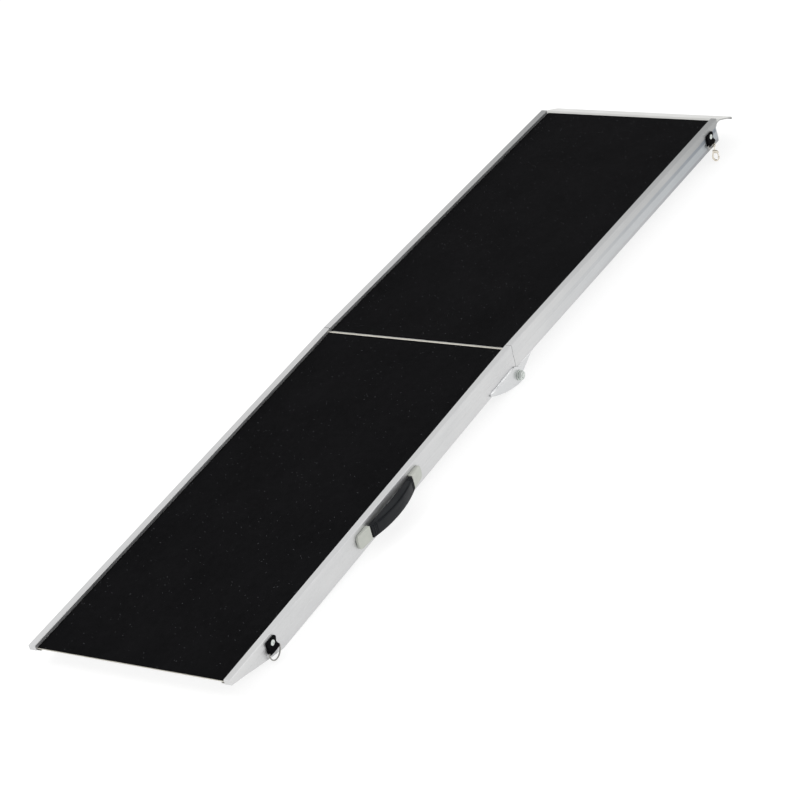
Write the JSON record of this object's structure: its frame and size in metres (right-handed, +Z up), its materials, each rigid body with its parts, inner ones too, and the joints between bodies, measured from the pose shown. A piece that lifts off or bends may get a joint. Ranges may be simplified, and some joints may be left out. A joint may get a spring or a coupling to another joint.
{
  "type": "portable wheelchair ramp",
  "caption": "Aluminium ramp whose two gritted panels fold underside to underside on pivots below the rails, with a lip at the top end, a side carry handle and a snap-hook latch.",
  "frame": {"origin": "middle of the bounding box on the floor, with the ramp lying open on its hinge gussets and the bottom corners of its lower rails", "axes": "+X across the ramp towards the carry handle, +Y along it from the ground end to the lip, +Z up"},
  "size_m": [0.4787, 2.1209, 0.0847],
  "materials": {
    "aluminium": "satin extruded aluminium",
    "bright_aluminium": "bright mill aluminium sheet",
    "grit": "black mineral grit sheet with sparse glints",
    "zinc": "zinc-plated fasteners",
    "cap": "satin cream-grey metal",
    "rubber": "soft black moulded grip",
    "webbing": "black woven webbing",
    "nickel": "warm nickel plating",
    "spring_steel": "plain spring steel"
  },
  "bodies": {
    "lower_panel": {"fold_trim": "bright_aluminium", "ground_nose": "bright_aluminium", "handle_cap_lower": "cap", "handle_cap_upper": "cap", "inner_washer_left": "zinc", "inner_washer_right": "zinc", "lower_cross_member_1": "aluminium", "lower_cross_member_2": "aluminium", "lower_cross_member_3": "aluminium", "lower_cross_member_4": "aluminium", "lower_deck": "aluminium", "lower_gusset_left": "aluminium", "lower_gusset_right": "aluminium", "lower_latch_rivet": "zinc", "lower_latch_tab": "webbing", "lower_rail_left": "aluminium", "lower_rail_right": "aluminium", "lower_tread": "grit", "outer_washer_left": "zinc", "outer_washer_right": "zinc", "pivot_bolt_left": "zinc", "pivot_bolt_right": "zinc", "pivot_nut_left": "zinc", "pivot_nut_right": "zinc", "pivot_spacer_left": "zinc", "pivot_spacer_right": "zinc", "strap_screw_lower": "zinc", "strap_screw_upper": "zinc"},
    "upper_panel": {"transition_lip": "bright_aluminium", "upper_cross_member_1": "aluminium", "upper_cross_member_2": "aluminium", "upper_cross_member_3": "aluminium", "upper_cross_member_4": "aluminium", "upper_deck": "aluminium", "upper_end_channel": "aluminium", "upper_gusset_left": "aluminium", "upper_gusset_right": "aluminium", "upper_latch_rivet": "zinc", "upper_latch_tab": "webbing", "upper_rail_left": "aluminium", "upper_rail_right": "aluminium", "upper_tread": "grit"},
    "carry_grip": {"handle_strap": "spring_steel", "handle_grip": "rubber"},
    "lower_ring": {"lower_latch_ring": "nickel"},
    "upper_ring": {"upper_latch_ring": "nickel"},
    "hook_swivel_eye": {"hook_eye": "nickel"},
    "hook_frame": {"snap_hook": "nickel", "hook_gate_pin": "zinc"},
    "gate": {"hook_gate": "nickel"}
  },
  "joints": [
    {"name": "fold", "type": "hinge", "parent": "lower_panel", "child": "upper_panel", "pos_m": [-0.00595, 0.00188, 0.01672], "axis": [-1, 0, 0], "range_deg": [0, 177.9]},
    {"name": "handle_play", "type": "slide", "parent": "lower_panel", "child": "carry_grip", "axis": [0, 0.9993, 0.0361], "range_m": [-0.0015, 0.0015]},
    {"name": "lower_ring_swing", "type": "hinge", "parent": "lower_panel", "child": "lower_ring", "pos_m": [0.21895, -0.93421, 0.0224], "axis": [0, -0.9993, -0.0361], "range_deg": [0, 100]},
    {"name": "upper_ring_swing", "type": "hinge", "parent": "upper_panel", "child": "upper_ring", "pos_m": [0.21895, 0.93715, 0.05021], "axis": [0, -1, 0], "range_deg": [0, 100]},
    {"name": "hook_swing", "type": "hinge", "parent": "upper_ring", "child": "hook_swivel_eye", "pos_m": [0.21895, 0.94615, 0.0405], "axis": [0, -1, 0], "range_deg": [-20, 60]},
    {"name": "hook_swivel", "type": "hinge", "parent": "hook_swivel_eye", "child": "hook_frame", "pos_m": [0.21895, 0.94615, 0.026], "axis": [0, 0, 1], "continuous": true},
    {"name": "gate_open", "type": "hinge", "parent": "hook_frame", "child": "gate", "pos_m": [0.22495, 0.94615, 0.022], "axis": [0, 1, 0], "range_deg": [0, 28], "stiffness_Nm_per_rad": 0.02, "springref_deg": -17.19}
  ]
}
